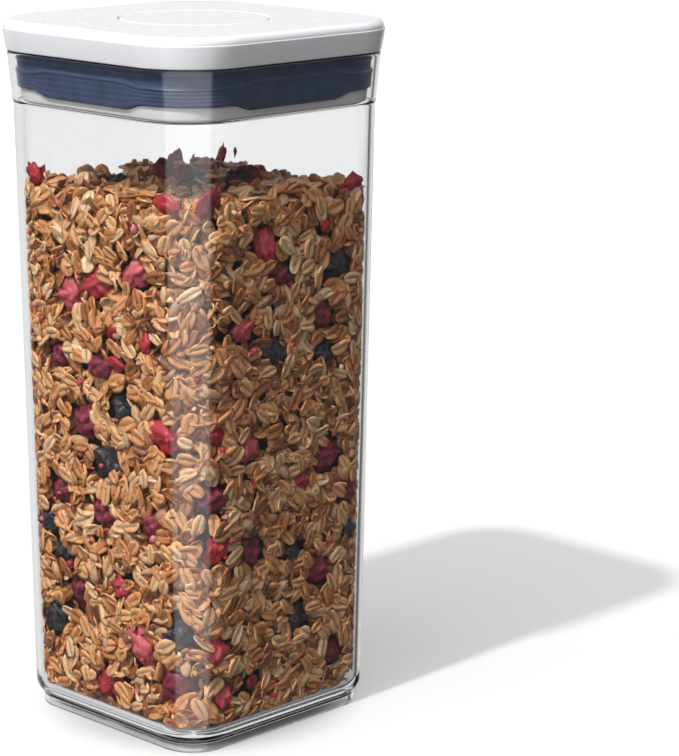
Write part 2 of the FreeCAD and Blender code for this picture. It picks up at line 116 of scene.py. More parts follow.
def skin(name, rings, closed=False, caps=False):
    """A surface through rings of equally many points; closed joins the last ring to the first."""
    count = len(rings[0])
    verts = [point for loop in rings for point in loop]
    faces = []
    spans = len(rings) if closed else len(rings) - 1
    for row in range(spans):
        low, high = row * count, (row + 1) % len(rings) * count
        for k in range(count):
            after = (k + 1) % count
            faces.append((low + k, low + after, high + after, high + k))
    if caps:
        faces.append(tuple(range(count)))
        last = (len(rings) - 1) * count
        faces.append(tuple(last + k for k in range(count)))
    return add_mesh(name, verts, faces)


# ---------------------------------------------------------------- materials


def new_material(name):
    """A material with a Principled shader; returns the material, its nodes, a linker, shader."""
    material = bpy.data.materials.new(name)
    material.use_nodes = True
    tree = material.node_tree
    shader = tree.nodes["Principled BSDF"]
    return material, tree.nodes, tree.links.new, shader


def noise_node(nodes, link, scale, detail=4.0, roughness=0.55, stretch=None):
    """Noise in the piece's own metres, optionally stretched along an axis."""
    where = nodes.new("ShaderNodeTexCoord")
    texture = nodes.new("ShaderNodeTexNoise")
    texture.inputs["Scale"].default_value = scale
    texture.inputs["Detail"].default_value = detail
    texture.inputs["Roughness"].default_value = roughness
    if stretch is None:
        link(where.outputs["Object"], texture.inputs["Vector"])
    else:
        mapping = nodes.new("ShaderNodeMapping")
        mapping.inputs["Scale"].default_value = stretch
        link(where.outputs["Object"], mapping.inputs["Vector"])
        link(mapping.outputs["Vector"], texture.inputs["Vector"])
    return texture


def math_value(nodes, link, operation, *values):
    """A sum on values, each a number or another node's output."""
    item = nodes.new("ShaderNodeMath")
    item.operation = operation
    for socket, value in zip(item.inputs, values):
        if isinstance(value, (int, float)):
            socket.default_value = value
        else:
            link(value, socket)
    return item.outputs["Value"]


def smooth_value(nodes, link, value, low, high, start=0.0, end=1.0):
    """An S-shaped step from start to end as the value goes from low to high."""
    item = nodes.new("ShaderNodeMapRange")
    item.interpolation_type = "SMOOTHSTEP"
    for name, number in (("From Min", low), ("From Max", high), ("To Min", start),
                         ("To Max", end)):
        item.inputs[name].default_value = number
    link(value, item.inputs["Value"])
    return item.outputs["Result"]


def ramp(nodes, link, source, stops):
    """A colour ramp from (position, colour) stops."""
    item = nodes.new("ShaderNodeValToRGB")
    elements = item.color_ramp.elements
    while len(elements) < len(stops):
        elements.new(0.5)
    for element, (place, colour) in zip(elements, stops):
        element.position = place
        element.color = (*colour, 1.0)
    link(source, item.inputs["Fac"])
    return item.outputs["Color"]


def spread(nodes, link, source, low, high):
    """Map noise from about 0.3..0.7 to low..high."""
    item = nodes.new("ShaderNodeMapRange")
    item.inputs["From Min"].default_value = 0.3
    item.inputs["From Max"].default_value = 0.7
    item.inputs["To Min"].default_value = low
    item.inputs["To Max"].default_value = high
    link(source, item.inputs["Value"])
    return item.outputs["Result"]


def bump(nodes, link, shader, source, distance, strength=1.0):
    """Raise the shader's surface by noise, up to a distance in metres."""
    item = nodes.new("ShaderNodeBump")
    item.inputs["Distance"].default_value = distance
    item.inputs["Strength"].default_value = strength
    link(source, item.inputs["Height"])
    link(item.outputs["Normal"], shader.inputs["Normal"])


def moulded_plastic(name, colour, tint, rough, grain=0.000006, coat=0.0, scatter=0.0):
    """Injection-moulded plastic: faint cloudiness, uneven gloss and a fine skin texture."""
    material, nodes, link, shader = new_material(name)
    cloud = noise_node(nodes, link, 38.0, 3.0)
    dark = tuple(value * tint for value in colour)
    link(ramp(nodes, link, cloud.outputs["Fac"], [(0.3, dark), (0.7, colour)]),
         shader.inputs["Base Color"])
    wear = noise_node(nodes, link, 420.0, 5.0, 0.65)
    link(spread(nodes, link, wear.outputs["Fac"], rough * 0.8, rough * 1.25),
         shader.inputs["Roughness"])
    fine = noise_node(nodes, link, 1900.0, 2.0)
    bump(nodes, link, shader, fine.outputs["Fac"], grain)
    shader.inputs["IOR"].default_value = 1.49
    shader.inputs["Coat Weight"].default_value = coat
    shader.inputs["Coat Roughness"].default_value = 0.08
    shader.inputs["Subsurface Weight"].default_value = scatter
    shader.inputs["Subsurface Radius"].default_value = (0.004, 0.004, 0.004)
    shader.inputs["Subsurface Scale"].default_value = 0.5
    return material


def clear_plastic():
    """Clear copolyester: slightly uneven gloss; lamps shine through it onto the contents."""
    material, nodes, link, shader = new_material("clear_copolyester")
    tone = noise_node(nodes, link, 9.0, 2.0)
    link(ramp(nodes, link, tone.outputs["Fac"],
              [(0.3, (0.905, 0.912, 0.912)), (0.7, (0.925, 0.93, 0.93))]),
         shader.inputs["Base Color"])
    handling = noise_node(nodes, link, 150.0, 6.0, 0.7)
    link(spread(nodes, link, handling.outputs["Fac"], 0.004, 0.03), shader.inputs["Roughness"])
    flow = noise_node(nodes, link, 30.0, 2.0, 0.5, (1.0, 1.0, 0.25))
    bump(nodes, link, shader, flow.outputs["Fac"], 0.00002, 0.6)
    shader.inputs["Transmission Weight"].default_value = 1.0
    shader.inputs["IOR"].default_value = 1.5
    through = nodes.new("ShaderNodeBsdfTransparent")
    through.inputs["Color"].default_value = (0.93, 0.935, 0.935, 1.0)
    rays = nodes.new("ShaderNodeLightPath")
    last = shader.outputs["BSDF"]
    for kind in ("Is Diffuse Ray", "Is Shadow Ray"):
        mix = nodes.new("ShaderNodeMixShader")
        link(rays.outputs[kind], mix.inputs["Fac"])
        link(last, mix.inputs[1])
        link(through.outputs["BSDF"], mix.inputs[2])
        last = mix.outputs["Shader"]
    link(last, nodes["Material Output"].inputs["Surface"])
    return material


def silicone():
    """Dark blue silicone: soft sheen, dusty roughness and faint flow lines round the band."""
    material, nodes, link, shader = new_material("navy_silicone")
    dust = noise_node(nodes, link, 160.0, 5.0, 0.6)
    link(ramp(nodes, link, dust.outputs["Fac"],
              [(0.3, (0.034, 0.05, 0.112)), (0.72, (0.058, 0.082, 0.165))]),
         shader.inputs["Base Color"])
    lines = noise_node(nodes, link, 600.0, 3.0, 0.6, (0.04, 0.04, 2.2))
    link(spread(nodes, link, lines.outputs["Fac"], 0.3, 0.46), shader.inputs["Roughness"])
    bump(nodes, link, shader, lines.outputs["Fac"], 0.00004, 0.7)
    shader.inputs["Sheen Weight"].default_value = 0.25
    shader.inputs["Sheen Roughness"].default_value = 0.4
    return material


def drawn_steel():
    """Plain steel wire and pins with fine drawing marks."""
    material, nodes, link, shader = new_material("drawn_steel")
    marks = noise_node(nodes, link, 900.0, 4.0, 0.6, (1.0, 1.0, 0.15))
    link(ramp(nodes, link, marks.outputs["Fac"],
              [(0.3, (0.42, 0.42, 0.43)), (0.7, (0.66, 0.66, 0.67))]),
         shader.inputs["Base Color"])
    link(spread(nodes, link, marks.outputs["Fac"], 0.22, 0.42), shader.inputs["Roughness"])
    bump(nodes, link, shader, marks.outputs["Fac"], 0.00001)
    shader.inputs["Metallic"].default_value = 1.0
    return material


MOTTLE_SHARE, MOTTLE_SHIFT = 0.55, 0.27


def food(name, stops, rough, grain, pits, gloss=0.0, scatter=0.0):
    """Dry food: a colour per grain from its own tint and mottling, multiplied by the painted shade
    each point carries, and a rough baked surface.
    """
    material, nodes, link, shader = new_material(name)
    own = nodes.new("ShaderNodeVertexColor")
    own.layer_name = "tint"
    split = nodes.new("ShaderNodeSeparateColor")
    link(own.outputs["Color"], split.inputs["Color"])
    mottle = noise_node(nodes, link, grain, 5.0, 0.62)
    blend = math_value(nodes, link, "MULTIPLY_ADD", mottle.outputs["Fac"], MOTTLE_SHARE,
                       split.outputs["Red"])
    base = ramp(nodes, link, math_value(nodes, link, "SUBTRACT", blend, MOTTLE_SHIFT), stops)
    shade = nodes.new("ShaderNodeMix")
    shade.data_type = "RGBA"
    shade.blend_type = "MULTIPLY"
    shade.inputs["Factor"].default_value = 1.0
    link(base, shade.inputs["A"])
    # The tint's green channel is painted shade: dark in oat creases, between raspberry drupelets
    # and over the core.
    painted_shade_grey = nodes.new("ShaderNodeCombineColor")
    for channel in ("Red", "Green", "Blue"):
        link(split.outputs["Green"], painted_shade_grey.inputs[channel])
    link(painted_shade_grey.outputs["Color"], shade.inputs["B"])
    link(shade.outputs["Result"], shader.inputs["Base Color"])
    crumbs = noise_node(nodes, link, pits, 4.0, 0.7)
    link(spread(nodes, link, crumbs.outputs["Fac"], rough * 0.75, rough * 1.2),
         shader.inputs["Roughness"])
    bump(nodes, link, shader, crumbs.outputs["Fac"], 0.0005, 1.0)
    shader.inputs["Coat Weight"].default_value = gloss
    shader.inputs["Coat Roughness"].default_value = 0.24
    shader.inputs["Subsurface Weight"].default_value = scatter
    shader.inputs["Subsurface Radius"].default_value = (0.0012, 0.0006, 0.0003)
    shader.inputs["Subsurface Scale"].default_value = 1.0
    return material


def dress(piece, material):
    """Give a piece one material."""
    piece.data.materials.clear()
    piece.data.materials.append(material)


# ---------------------------------------------------------------- canister shells

COVER_TOP = 244.0
DIP_HALF, DIP_END = 19.0, 27.5


def side_share(x):
    """1 along the flat of a side, 0 at the corners, with a short S-shaped step between."""
    part = (DIP_END - abs(x)) / (DIP_END - DIP_HALF)
    part = min(1.0, max(0.0, part))
    return part * part * (3 - 2 * part)


def make_jar():
    """Clear jar, from the middle of its foot up the outside, over the rim and down the inside."""
    stations = [(0.6, 0.55, 3.0), (20.0, 8.0, 3.0), (40.2, 10.6, 3.0)]
    stations += bend(40.4, 10.8, 2.4, 0.6, 0, 90, 4)
    stations += [(41.0, 11.4, 0.9)]
    stations += bend(41.5, 11.9, 0.5, 0.5, 270, 180, 4)
    stations += bend(42.6, 13.0, 0.6, 0.6, 180, 90, 4)
    stations += [(43.2, 13.6, 3.2)]
    stations += bend(39.82, 10.22, 9.0, 6.0, 145, 90, 10)
    stations += [(45.85, 16.3, 10.4), (47.75, 18.6, 113.0), (49.77, 20.87, 214.2)]
    stations += [(49.79, 20.89, 215.6), (49.86, 20.96, 215.9), (50.04, 21.14, 215.98)]
    stations += [(50.12, 21.22, 216.15), (50.2, 21.3, 217.2), (51.62, 22.82, 231.8)]
    stations += bend(51.15, 22.35, 232.75, 0.55, 88, 0, 5)
    stations += bend(50.5, 21.65, 232.75, 0.55, 360, 272, 5)
    stations += [(49.86, 21.0, 231.8), (48.62, 19.74, 217.6)]
    stations += [(48.56, 19.68, 216.75), (48.4, 19.5, 216.45), (48.05, 19.15, 216.35)]
    stations += [(47.92, 19.02, 216.1), (47.88, 18.98, 215.0), (45.75, 16.45, 113.0)]
    stations += [(43.66, 14.05, 12.4)]
    stations += bend(38.62, 9.02, 10.6, 5.0, 90, 180, 10)
    stations += [(36.6, 8.4, 5.6), (18.0, 7.0, 5.6), (0.6, 0.55, 5.6)]
    return skin("clear_jar", [ring(*station) for station in stations], caps=True)


def make_cover():
    """White cover: rounded top edge, ledge line, skirt, and the sleeve that guides the button."""
    outer = [(50.0, 21.9, COVER_TOP)]
    outer += bend(50.55, 22.45, 241.45, 2.55, 0, 90, 12)
    outer += [(53.1, 25.0, 241.32), (53.14, 25.04, 241.24), (53.36, 25.26, 241.2)]
    outer += [(53.46, 25.36, 241.1), (53.44, 25.34, 240.6), (52.12, 23.42, 234.5)]
    outer += [(52.02, 23.32, 234.0)]
    outer += bend(51.6, 22.9, 233.98, 0.38, 90, 180, 4)
    outer += [(50.3, 21.6, 233.6), (50.1, 21.4, 233.9), (51.2, 23.1, 241.2)]
    outer += [(50.8, 22.7, 241.6)]
    rings = [ring(*station, SIDE_EVEN) for station in outer]
    like = rings[0]
    bore, sleeve = 25.85, 27.6
    inner = [(sleeve + 0.5, 241.6), (sleeve, 241.1), (sleeve, 232.3), (sleeve - 0.3, 232.0)]
    inner += [(bore + 0.3, 232.0), (bore, 232.3), (bore, 243.3)]
    inner += [(bore + 0.5 - 0.5 * math.cos(math.radians(a)),
               243.5 + 0.5 * math.sin(math.radians(a))) for a in (0, 22, 45, 67, 90)]
    inner += [(27.5, COVER_TOP), (36.0, COVER_TOP)]
    rings += [round_ring(radius, level, like) for radius, level in inner]
    return skin("lid_cover_shell", rings, closed=True)


def make_button():
    """Round button: a cup with a deep rim and a stem socket in the middle."""
    like = ring(50.0, 21.9, 0.0, SIDE_EVEN)
    radius, foot = 25.45, 227.2
    profile = [(0.4, 243.93), (8.0, 243.93), (16.0, 243.95), (22.0, 243.99)]
    profile += [(radius - 0.6 + 0.6 * math.sin(math.radians(a)),
                 243.4 + 0.6 * math.cos(math.radians(a))) for a in (0, 20, 42, 64, 90)]
    profile += [(radius, 242.6), (radius, foot + 0.3), (radius - 0.3, foot)]
    profile += [(radius - 1.3, foot), (radius - 1.6, foot + 0.3), (radius - 1.6, 241.3)]
    profile += [(radius - 2.1, 241.8), (15.1, 241.8), (14.6, 241.3), (14.6, 223.6), (14.3, 223.3)]
    profile += [(12.9, 223.3), (12.6, 223.6), (12.6, 241.3), (12.1, 241.8), (0.4, 241.8)]
    return skin("button_cup", [round_ring(r, z, like) for r, z in profile], caps=True)


def make_tray():
    """Shallow tray under the gasket, with a rim that dips along each side."""
    low, top, dip, wall = 215.5, 221.1, -2.0, 1.6

    def rim(x):
        return dip * side_share(x)

    rings = []

    def add(half, corner, level, lift=None):
        rings.append(ring(half, corner, level, SIDE_FINE, lift))

    for half, corner, level in [(0.6, 0.5, low), (30.0, 12.0, low), (44.0, 15.4, low)]:
        add(half, corner, level)
    for station in bend(44.95, 16.35, low + 2.0, 2.0, 180, 95, 8):
        add(*station)
    add(47.0, 18.4, 218.0)
    add(47.32, 18.72, top - 0.5, rim)
    for station in bend(47.32 - 0.4, 18.72 - 0.4, top - 0.4, 0.4, 85, 0, 4):
        add(*station, rim)
    for station in bend(47.32 - wall + 0.4, 18.72 - wall + 0.4, top - 0.4, 0.4, 360, 270, 4):
        add(*station, rim)
    inside, inside_corner = 47.32 - wall, 18.72 - wall
    add(inside, inside_corner, 218.6)
    for station in bend(inside - 1.0, inside_corner - 1.0, 218.4, 1.0, 90, 180, 4):
        add(*station)
    add(30.0, 12.0, 217.4)
    add(0.6, 0.5, 217.4)
    return skin("squeeze_tray", rings, caps=True)


def make_tray_posts():
    """Four arches on the tray's floor, each with a window for its lever's nose."""
    half_wide, side, foot, top, low_sill, high_sill = 4.75, 1.4, 217.2, 232.8, 228.15, 230.85
    near, far = 37.2, 38.8
    outline = [(-half_wide, foot), (half_wide, foot), (half_wide, top - 1.0),
               (half_wide - 1.0, top), (-half_wide + 1.0, top), (-half_wide, top - 1.0)]
    inner = half_wide - side
    window = [(-inner, low_sill), (inner, low_sill), (inner, high_sill - 0.3),
              (inner - 0.3, high_sill), (-inner + 0.3, high_sill), (-inner, high_sill - 0.3)]
    verts, faces = [], []
    for quarter in range(4):
        cos, sin = round(math.cos(math.pi / 2 * quarter)), round(math.sin(math.pi / 2 * quarter))
        first = len(verts)
        for x in (near, far):
            for loop in (outline, window):
                verts += [(x * cos - y * sin, x * sin + y * cos, z) for y, z in loop]
        count = len(outline)
        for k in range(count):
            after = (k + 1) % count
            o, w, p, v = (first + count * part for part in range(4))
            faces += [(o + k, o + after, w + after, w + k), (p + k, p + after, v + after, v + k),
                      (o + k, o + after, p + after, p + k), (w + k, w + after, v + after, v + k)]
    return add_mesh("tray_posts", verts, faces)


def make_gasket():
    """Silicone band: an inset collar, a ridge that steps at the corners, then fine ribs."""
    foot, top = 221.35, 233.2
    dip = -1.95
    ridge, ridge_rise = 226.9, 1.1

    def reach(level):
        return 48.3 + 1.05 * (level - foot) / (top - foot)

    def foot_lift(x):
        return dip * side_share(x)

    def ridge_lift(x):
        return ridge_rise * side_share(x)

    def mixed(share):
        return lambda x: share * foot_lift(x) + (1 - share) * ridge_lift(x)

    rings = []

    def add(out, level, lift=None):
        half = reach(level) + out
        rings.append(ring(half, half - 28.6, level, SIDE_FINE, lift))

    add(-1.6, top)
    add(-0.35, top)
    add(-0.1, top - 0.25)
    add(-0.1, 231.2)
    add(-0.55, 230.6)
    add(-0.6, ridge + 1.1, ridge_lift)
    for out, level in ((-0.45, 0.75), (-0.12, 0.5), (0.2, 0.3), (0.36, 0.05), (0.3, -0.25),
                       (0.05, -0.5)):
        add(out, ridge + level, ridge_lift)
    ribs = 4
    for rib in range(ribs):
        share_top, share_low = rib / ribs, (rib + 1) / ribs
        pitch = (ridge - 0.6 - foot) / ribs
        level = ridge - 0.6 - pitch * rib
        for out, part in ((0.02, 0.05), (0.12, 0.3), (0.15, 0.5), (0.12, 0.7), (0.02, 0.93)):
            share = share_top + (share_low - share_top) * part
            add(out, level - pitch * part, mixed(share))
    add(-0.15, foot + 0.05, foot_lift)
    add(-0.5, foot, foot_lift)
    add(-1.3, foot, foot_lift)
    add(-1.6, foot + 0.3, foot_lift)
    return skin("gasket_band", rings, closed=True)


def make_spring():
    """Steel coil between the frame's post and the button, with closed ends."""
    coil, wire, low, high, turns, around = 3.7, 0.45, 222.95, 240.15, 7.5, 10
    steps = int(turns * 28)
    verts, faces = [], []
    for step in range(steps + 1):
        part = step / steps
        rise = min(1.0, max(0.0, (part * turns - 0.9) / (turns - 1.8)))
        height = low + (high - low) * rise
        angle = 2 * math.pi * turns * part
        for k in range(around):
            turn = 2 * math.pi * k / around
            radius = coil + wire * math.cos(turn)
            verts.append((radius * math.cos(angle), radius * math.sin(angle),
                          height + wire * math.sin(turn)))
    for step in range(steps):
        for k in range(around):
            after = (k + 1) % around
            faces.append((step * around + k, step * around + after,
                          (step + 1) * around + after, (step + 1) * around + k))
    faces.append(tuple(range(around)))
    faces.append(tuple(steps * around + k for k in range(around)))
    return add_mesh("coil_spring", verts, faces)


# ---------------------------------------------------------------- granola

FILL_LEVEL = 187.0
FLOOR_LEVEL = 5.6
WALL_PLAY = 0.45
INNER_LOW = (43.5, 13.9, 5.6)
INNER_HIGH = (47.9, 19.0, 216.4)
# Layers of grains: depth behind the wall, pitch and lean; depth below the top and pitch.
WALL_LAYERS = ((0.6, 4.8, 0.5), (2.4, 4.7, 0.8), (4.8, 5.4, 1.2))
HEAP_HALF, HEAP_LAYERS = 44.0, ((0.0, 5.2), (-2.6, 5.6), (-5.0, 6.2))
BED_HALF, BED_ROWS, BED_PITCH = 38, 14, 5.4


def inner_wall(level):
    """Half width and corner radius of the jar's cavity at a level."""
    part = (level - INNER_LOW[2]) / (INNER_HIGH[2] - INNER_LOW[2])
    half = INNER_LOW[0] + (INNER_HIGH[0] - INNER_LOW[0]) * part
    corner = INNER_LOW[1] + (INNER_HIGH[1] - INNER_LOW[1]) * part
    rise = np.clip((FLOOR_LEVEL + 5.0 - level) / 5.0, 0.0, 1.0)
    inset = 5.0 * (1 - np.sqrt(1 - rise ** 2 * 0.98))
    return half - inset, np.maximum(corner - inset, 6.0)


def heap_level(x, y):
    """Ragged top of the granola."""
    return (FILL_LEVEL + 4.5 * noise.noise(Vector((x / 26, y / 26, 3.1)))
            + 2.2 * noise.noise(Vector((x / 9, y / 9, 7.7))) - 0.02 * x)


def wall_excess(points):
    """How far points (n, 3) lie outside the cavity, and the outward direction there."""
    half, corner = inner_wall(points[:, 2])
    x, y = points[:, 0], points[:, 1]
    flat = half - corner
    dx, dy = np.abs(x) - flat, np.abs(y) - flat
    ox, oy = np.maximum(dx, 0.0), np.maximum(dy, 0.0)
    reach = np.hypot(ox, oy)
    inside = np.minimum(np.maximum(dx, dy), 0.0)
    excess = reach + inside - corner
    safe = np.maximum(reach, 1e-9)
    nx = np.where(reach > 0, ox / safe, (dx >= dy).astype(float)) * np.sign(x)
    ny = np.where(reach > 0, oy / safe, (dy > dx).astype(float)) * np.sign(y)
    return excess, np.stack([nx, ny, np.zeros_like(nx)], axis=1)


def oat_shape(rng):
    """One rolled oat: a lumpy oval with a deep crease; also gives a painted shade for each point.
    """
    length, width = rng.uniform(6.4, 9.4), rng.uniform(4.2, 6.0)
    thick = rng.uniform(0.9, 1.5)
    curl, bow, twist = rng.uniform(-0.1, 0.75), rng.uniform(-0.5, 0.5), rng.uniform(-0.5, 0.5)
    crease, sway = rng.uniform(0.35, 0.75), rng.uniform(-0.18, 0.18)
    along = (-0.86, -0.48, 0.0, 0.48, 0.86)
    across = (-1.0, -0.62, -0.2, 0.0, 0.2, 0.62, 1.0)
    under = (-0.6, 0.0, 0.6)
    # Painted shade across the oat from edge to edge: darkest (0.42) in the crease, where shade
    # falls.
    tone = (1.08, 0.98, 0.86, 0.42, 0.84, 1.0, 1.1)
    verts, shade = [], []

    def put(u, v, side, dark):
        reach = math.sqrt(max(0.0, 1 - abs(u) ** 2.6)) * rng.uniform(0.86, 1.08)
        x = length / 2 * u
        y = width / 2 * (v * reach + sway * (1 - u * u))
        body = thick / 2 * (1 - 0.75 * abs(v) ** 3) * (1 - 0.6 * u ** 4) * side
        dent = crease * math.exp(-(v / 0.2) ** 2) * (1 - u ** 4) if side > 0 else 0.0
        sag = curl * v * v * reach + bow * u * u + twist * u * v
        verts.append((x, y, body - dent + sag + rng.uniform(-0.13, 0.13)))
        shade.append(min(1.0, max(0.2, dark + rng.uniform(-0.16, 0.16))))

    for u in along:
        for v, dark in zip(across, tone):
            put(u, v, 1 if abs(v) < 1 else 0, dark)
    for u in along:
        for v in under:
            put(u, v, -1, 0.8)
    put(-1.0, 0.0, 0, 0.95)
    put(1.0, 0.0, 0, 0.95)
    wide, low, rows = len(across), len(under), len(along)
    first, last = rows * (wide + low), rows * (wide + low) + 1
    faces = []
    for row in range(rows):
        top = [row * wide + k for k in range(wide)]
        bottom = [top[0]] + [rows * wide + row * low + k for k in range(low)] + [top[-1]]
        if row + 1 < rows:
            for k in range(wide - 1):
                faces.append((top[k], top[k] + wide, top[k + 1] + wide, top[k + 1]))
            after = ([top[0] + wide] + [index + low for index in bottom[1:-1]]
                     + [top[-1] + wide])
            for k in range(low + 1):
                faces.append((bottom[k], bottom[k + 1], after[k + 1], after[k]))
        for end, tip in ((0, first), (rows - 1, last)):
            if row == end:
                flip = 1 if end == 0 else -1
                faces += [(tip, top[k], top[k + 1])[::flip] for k in range(wide - 1)]
                faces += [(tip, bottom[k + 1], bottom[k])[::flip] for k in range(low + 1)]
    return np.array(verts), faces, np.array(shade)


def blob_shape(rng, size, rough, around=10, rows=7, bumps=None, taper=0.0):
    """A closed rounded lump; bumps gives the drupelets of a raspberry as (count, height)."""
    verts, shade = [], []
    offset = Vector((rng.uniform(0, 50), rng.uniform(0, 50), rng.uniform(0, 50)))
    lobes = []
    if bumps is not None:
        count, rise = bumps
        for k in range(count):
            z = 1 - 2 * (k + 0.5) / count
            turn = k * 2.39996
            flat = math.sqrt(1 - z * z)
            lobes.append(Vector((flat * math.cos(turn), flat * math.sin(turn), z)))
    for row in range(rows + 1):
        polar = math.pi * row / rows
        steps = 1 if row in (0, rows) else around
        for k in range(steps):
            angle = 2 * math.pi * (k + 0.5 * (row % 2)) / around
            unit = Vector((math.sin(polar) * math.cos(angle),
                           math.sin(polar) * math.sin(angle), math.cos(polar)))
            radius = (1 + rough * noise.noise(unit * 1.7 + offset)
                      + rough * 0.45 * noise.noise(unit * 4.2 - offset))
            tone = 1.0
            if lobes:
                near = max(unit.dot(lobe) for lobe in lobes)
                drop = max(0.0, 1 - (1 - near) * len(lobes) * 0.55)
                radius += rise * math.sqrt(drop)
                # Painted shade: darkest in the gaps between drupelets, where shade falls.
                tone = 0.35 + 0.75 * drop
            narrow = 1 - taper * (0.5 + 0.5 * unit.z)
            verts.append((unit.x * radius * size[0] / 2 * narrow,
                          unit.y * radius * size[1] / 2 * narrow,
                          unit.z * radius * size[2] / 2))
            shade.append(tone)
    faces = []
    for k in range(around):
        after = (k + 1) % around
        faces.append((0, 1 + k, 1 + after))
        last = len(verts) - 1
        base = 1 + (rows - 2) * around
        faces.append((last, base + after, base + k))
    for row in range(rows - 2):
        low, high = 1 + row * around, 1 + (row + 1) * around
        for k in range(around):
            after = (k + 1) % around
            faces.append((low + k, high + k, high + after, low + after))
    return np.array(verts), faces, np.array(shade)


def turn_to(normal, rng, tilt):
    """A rotation that lays +Z along a normal, tilted and spun at random."""
    aim = Vector(normal).to_track_quat("Z", "Y").to_matrix()
    spin = Matrix.Rotation(rng.uniform(0, 2 * math.pi), 3, "Z")
    lean = Matrix.Rotation(tilt, 3, Vector((rng.uniform(-1, 1), rng.uniform(-1, 1), 0.001)))
    return np.array(aim @ lean @ spin)


class Pile:
    """Many grains of one food gathered into one mesh."""

    def __init__(self, name):
        self.name = name
        self.verts, self.faces, self.tint_and_painted_shade = [], [], []
        self.count = 0

    def add(self, shape, place, rotation, tint, scale=1.0, play=WALL_PLAY):
        verts, faces, shade = shape
        points = verts @ rotation.T * scale + place
        excess, out = wall_excess(points)
        worst = int(np.argmax(excess))
        push = excess[worst] + play
        if push > 0:
            points = points - out[worst] * push
        low = points[:, 2].min()
        if low < FLOOR_LEVEL + play:
            points[:, 2] += FLOOR_LEVEL + play - low
        again, out = wall_excess(points)
        worst = int(np.argmax(again))
        if again[worst] + play > 0.05:
            points = points - out[worst] * (again[worst] + play)
        self.verts.append(points)
        self.faces += [tuple(index + self.count for index in face) for face in faces]
        # Red carries the grain's tint; green and blue carry its painted shade.
        self.tint_and_painted_shade.append(np.stack([np.full(len(shade), tint), shade, shade,
                                    np.ones(len(shade))], axis=1))
        self.count += len(verts)

    def build(self, material):
        mesh = bpy.data.meshes.new(self.name)
        verts = np.concatenate(self.verts) * MM
        mesh.from_pydata(verts.tolist(), [], self.faces)
        mesh.polygons.foreach_set("use_smooth", [True] * len(mesh.polygons))
        # The tint colour holds the grain's tint in red and painted shade in green and blue.
        colours = mesh.color_attributes.new("tint", "FLOAT_COLOR", "POINT")
        colours.data.foreach_set("color", np.concatenate(self.tint_and_painted_shade).ravel())
        mesh.materials.append(material)
        piece = bpy.data.objects.new(self.name, mesh)
        bpy.context.collection.objects.link(piece)
        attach(piece, "jar")


def wall_place(rng, spot, level, depth):
    """A place at a share of the way round the wall; also gives the outward normal there."""
    half, corner = inner_wall(np.array([level]))
    half, corner = float(half[0]) - depth, max(2.0, float(corner[0]) - depth)
    straight, arc = 2 * (half - corner), math.pi / 2 * corner
    run = spot * 4 * (straight + arc)
    quarter = int(run // (straight + arc)) % 4
    along = run % (straight + arc)
    if along < straight:
        x, y, nx, ny = along - straight / 2, -half, 0.0, -1.0
    else:
        angle = -math.pi / 2 + (along - straight) / corner
        nx, ny = math.cos(angle), math.sin(angle)
        x, y = straight / 2 + corner * nx, -straight / 2 + corner * ny
    cos, sin = round(math.cos(math.pi / 2 * quarter)), round(math.sin(math.pi / 2 * quarter))
    return (np.array([x * cos - y * sin, x * sin + y * cos, level]),
            (nx * cos - ny * sin, nx * sin + ny * cos, 0.0))


# Larger fruit near the walls: how many to a side, and the smallest and largest, in mm.
FRUIT = {"raspberry": (8, 9.0, 14.5), "strawberry": (7, 8.5, 16.0), "red_skin": (3, 7.0, 9.0),
         "blueberry": (6, 8.5, 14.0)}
FRUIT_SPAN = 36.0
FRUIT_SPACING = 0.55
FRUIT_TRIES = 40
# Red skins that stand out of the heap, as shares of the way from a side's middle to its ends.
TIP_SHARES = (-0.75, 0.65)
SIDES = {"front": (0, -1), "left": (-1, 0), "rear": (0, 1), "right": (1, 0)}


def fruit_place(side, along, level, depth):
    """A place just inside one flat side of the jar; along is measured towards +X or +Y."""
    half = float(inner_wall(np.array([level]))[0][0]) - depth
    nx, ny = SIDES[side]
    x = along if nx == 0 else nx * half
    y = along if ny == 0 else ny * half
    return np.array([x, y, level]), (nx, ny, 0.0)


def fruit_spots(rng):
    """Kind, side, place along it, level and size of each larger fruit, clear of the others."""
    spots = []
    for side in SIDES:
        for share in TIP_SHARES:
            along = share * INNER_HIGH[0]
            place, _ = fruit_place(side, along, FILL_LEVEL, 0.0)
            spots.append(("red_skin", side, along,
                          heap_level(place[0], place[1]) + rng.uniform(0, 3),
                          rng.uniform(9, 12)))
        for kind, (count, smallest, largest) in FRUIT.items():
            for _ in range(count):
                size = rng.uniform(smallest, largest)
                for _ in range(FRUIT_TRIES):
                    along = rng.uniform(-FRUIT_SPAN, FRUIT_SPAN)
                    level = rng.uniform(14, FILL_LEVEL - 8)
                    if all(other != side or math.hypot(along - near, level - height)
                           > (size + width) * FRUIT_SPACING
                           for _, other, near, height, width in spots):
                        spots.append((kind, side, along, level, size))
                        break
    return spots


def fruit_shape(kind, size, rng):
    """A dried berry or a piece of one, lumpy in the way of its kind."""
    if kind == "raspberry":
        return blob_shape(rng, (size, size * rng.uniform(0.75, 0.95), size * 0.9), 0.18, 26, 17,
                          (36, 0.22), 0.12)
    if kind == "strawberry":
        return blob_shape(rng, (size, size * rng.uniform(0.6, 0.9), size * 0.34), 0.7, 24, 13,
                          None, 0.2)
    if kind == "red_skin":
        return blob_shape(rng, (size, size * 0.75, size * 0.24), 0.75, 14, 8, None, 0.3)
    return blob_shape(rng, (size, size * 0.95, size * 0.8), 0.5, 26, 15)


